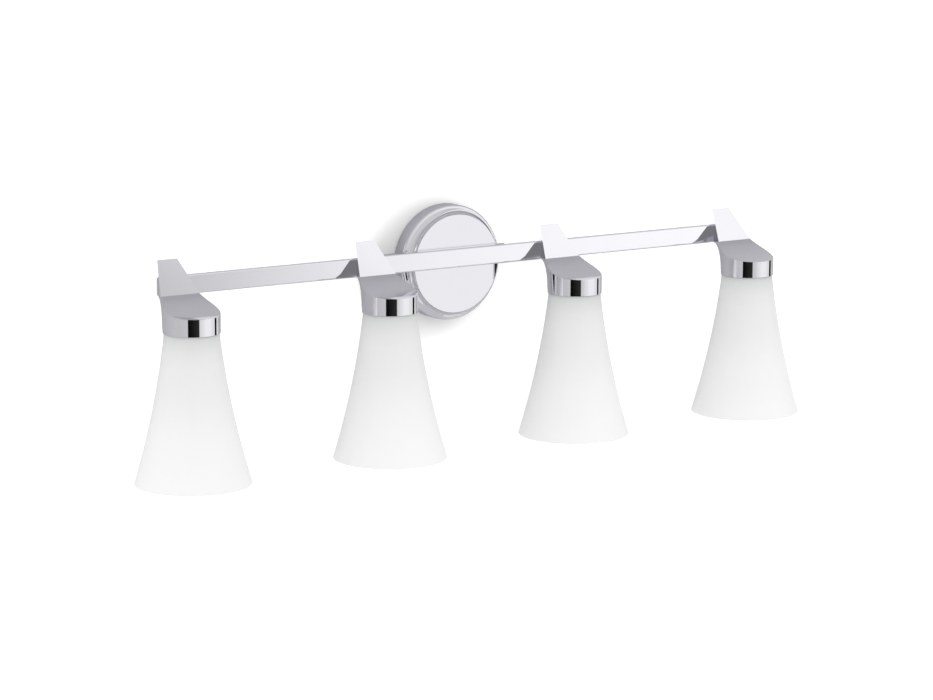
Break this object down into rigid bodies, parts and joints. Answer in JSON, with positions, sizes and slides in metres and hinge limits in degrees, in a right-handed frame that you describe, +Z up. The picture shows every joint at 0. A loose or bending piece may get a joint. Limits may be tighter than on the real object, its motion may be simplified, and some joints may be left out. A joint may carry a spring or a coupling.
{
  "type": "vanity light bar",
  "caption": "Chrome bathroom wall light: a slim straight bar on a round canopy carries swept arms, each with a flared white glass shade over a screw-in bulb.",
  "frame": {"origin": "centre of the canopy on the wall plane", "axes": "+X along the bar, +Y into the wall, +Z up; the lamps hang from the -Y side and point down"},
  "size_m": [0.8026, 0.1367, 0.2447],
  "materials": {
    "chrome": "mirror-polished chromium plate with a faint lavender cast",
    "opal_glass": "opal white glass with a satin acid-etched outside",
    "bulb_glass": "inside-frosted bulb glass",
    "nickel": "nickel plate",
    "black_insulator": "black vitrite with a tin solder tip",
    "phenolic": "moulded white porcelain-coloured phenolic",
    "brass": "bright rolled brass",
    "ring_plastic": "moulded white plastic",
    "gasket_rubber": "grey silicone",
    "zinc_steel": "zinc-plated steel",
    "green_screw": "green dyed steel",
    "copper_wire": "bare copper",
    "lead_jacket": "white silicone twin lead",
    "connector_plastic": "orange moulded connector"
  },
  "bodies": {
    "fixture": {"wall_bracket": "zinc_steel", "ground_screw": "green_screw", "ground_wire": "copper_wire", "canopy": "chrome", "canopy_set_screws": "zinc_steel", "bar_tube": "chrome", "bar_cap_left": "chrome", "bar_cap_right": "chrome", "bar_nipple": "nickel", "earth_lug": "nickel", "nipple_nut": "nickel", "bar_screws": "zinc_steel", "arm_screws": "zinc_steel", "socket_screws": "zinc_steel", "shade_gaskets": "gasket_rubber", "wire_connectors": "connector_plastic", "arm_1": "chrome", "arm_2": "chrome", "arm_3": "chrome", "arm_4": "chrome", "socket_body_1": "phenolic", "socket_body_2": "phenolic", "socket_body_3": "phenolic", "socket_body_4": "phenolic", "screw_shell_1": "brass", "screw_shell_2": "brass", "screw_shell_3": "brass", "screw_shell_4": "brass", "centre_contact_1": "brass", "centre_contact_2": "brass", "centre_contact_3": "brass", "centre_contact_4": "brass", "lamp_lead_1": "lead_jacket", "lamp_lead_2": "lead_jacket", "lamp_lead_3": "lead_jacket", "lamp_lead_4": "lead_jacket"},
    "shade_1": {"shade_1": "opal_glass"},
    "ring_1": {"shade_ring_1": "ring_plastic"},
    "bulb_1": {"bulb_globe_1": "bulb_glass", "bulb_cap_1": "nickel", "bulb_contact_1": "black_insulator"},
    "shade_2": {"shade_2": "opal_glass"},
    "ring_2": {"shade_ring_2": "ring_plastic"},
    "bulb_2": {"bulb_globe_2": "bulb_glass", "bulb_cap_2": "nickel", "bulb_contact_2": "black_insulator"},
    "shade_3": {"shade_3": "opal_glass"},
    "ring_3": {"shade_ring_3": "ring_plastic"},
    "bulb_3": {"bulb_globe_3": "bulb_glass", "bulb_cap_3": "nickel", "bulb_contact_3": "black_insulator"},
    "shade_4": {"shade_4": "opal_glass"},
    "ring_4": {"shade_ring_4": "ring_plastic"},
    "bulb_4": {"bulb_globe_4": "bulb_glass", "bulb_cap_4": "nickel", "bulb_contact_4": "black_insulator"}
  },
  "joints": [
    {"name": "ring_1_turn", "type": "hinge", "parent": "shade_1", "child": "ring_1", "pos_m": [-0.3429, -0.0783, -0.0315], "axis": [0, 0, -1], "range_deg": [0, 1081]},
    {"name": "shade_1_drop", "type": "slide", "parent": "fixture", "child": "shade_1", "axis": [0, 0, -1], "range_m": [0, 0.0075]},
    {"name": "bulb_1_draw", "type": "slide", "parent": "fixture", "child": "bulb_1", "axis": [0, 0, -1], "range_m": [0, 0.155]},
    {"name": "ring_2_turn", "type": "hinge", "parent": "shade_2", "child": "ring_2", "pos_m": [-0.1143, -0.0783, -0.0315], "axis": [0, 0, -1], "range_deg": [0, 1081]},
    {"name": "shade_2_drop", "type": "slide", "parent": "fixture", "child": "shade_2", "axis": [0, 0, -1], "range_m": [0, 0.0075]},
    {"name": "bulb_2_draw", "type": "slide", "parent": "fixture", "child": "bulb_2", "axis": [0, 0, -1], "range_m": [0, 0.155]},
    {"name": "ring_3_turn", "type": "hinge", "parent": "shade_3", "child": "ring_3", "pos_m": [0.1143, -0.0783, -0.0315], "axis": [0, 0, -1], "range_deg": [0, 1081]},
    {"name": "shade_3_drop", "type": "slide", "parent": "fixture", "child": "shade_3", "axis": [0, 0, -1], "range_m": [0, 0.0075]},
    {"name": "bulb_3_draw", "type": "slide", "parent": "fixture", "child": "bulb_3", "axis": [0, 0, -1], "range_m": [0, 0.155]},
    {"name": "ring_4_turn", "type": "hinge", "parent": "shade_4", "child": "ring_4", "pos_m": [0.3429, -0.0783, -0.0315], "axis": [0, 0, -1], "range_deg": [0, 1081]},
    {"name": "shade_4_drop", "type": "slide", "parent": "fixture", "child": "shade_4", "axis": [0, 0, -1], "range_m": [0, 0.0075]},
    {"name": "bulb_4_draw", "type": "slide", "parent": "fixture", "child": "bulb_4", "axis": [0, 0, -1], "range_m": [0, 0.155]}
  ],
  "couplings": [
    {"joint": "ring_1_turn", "follows": "shade_1_drop", "rad_per_m": 2513.3},
    {"joint": "ring_2_turn", "follows": "shade_2_drop", "rad_per_m": 2513.3},
    {"joint": "ring_3_turn", "follows": "shade_3_drop", "rad_per_m": 2513.3},
    {"joint": "ring_4_turn", "follows": "shade_4_drop", "rad_per_m": 2513.3}
  ]
}
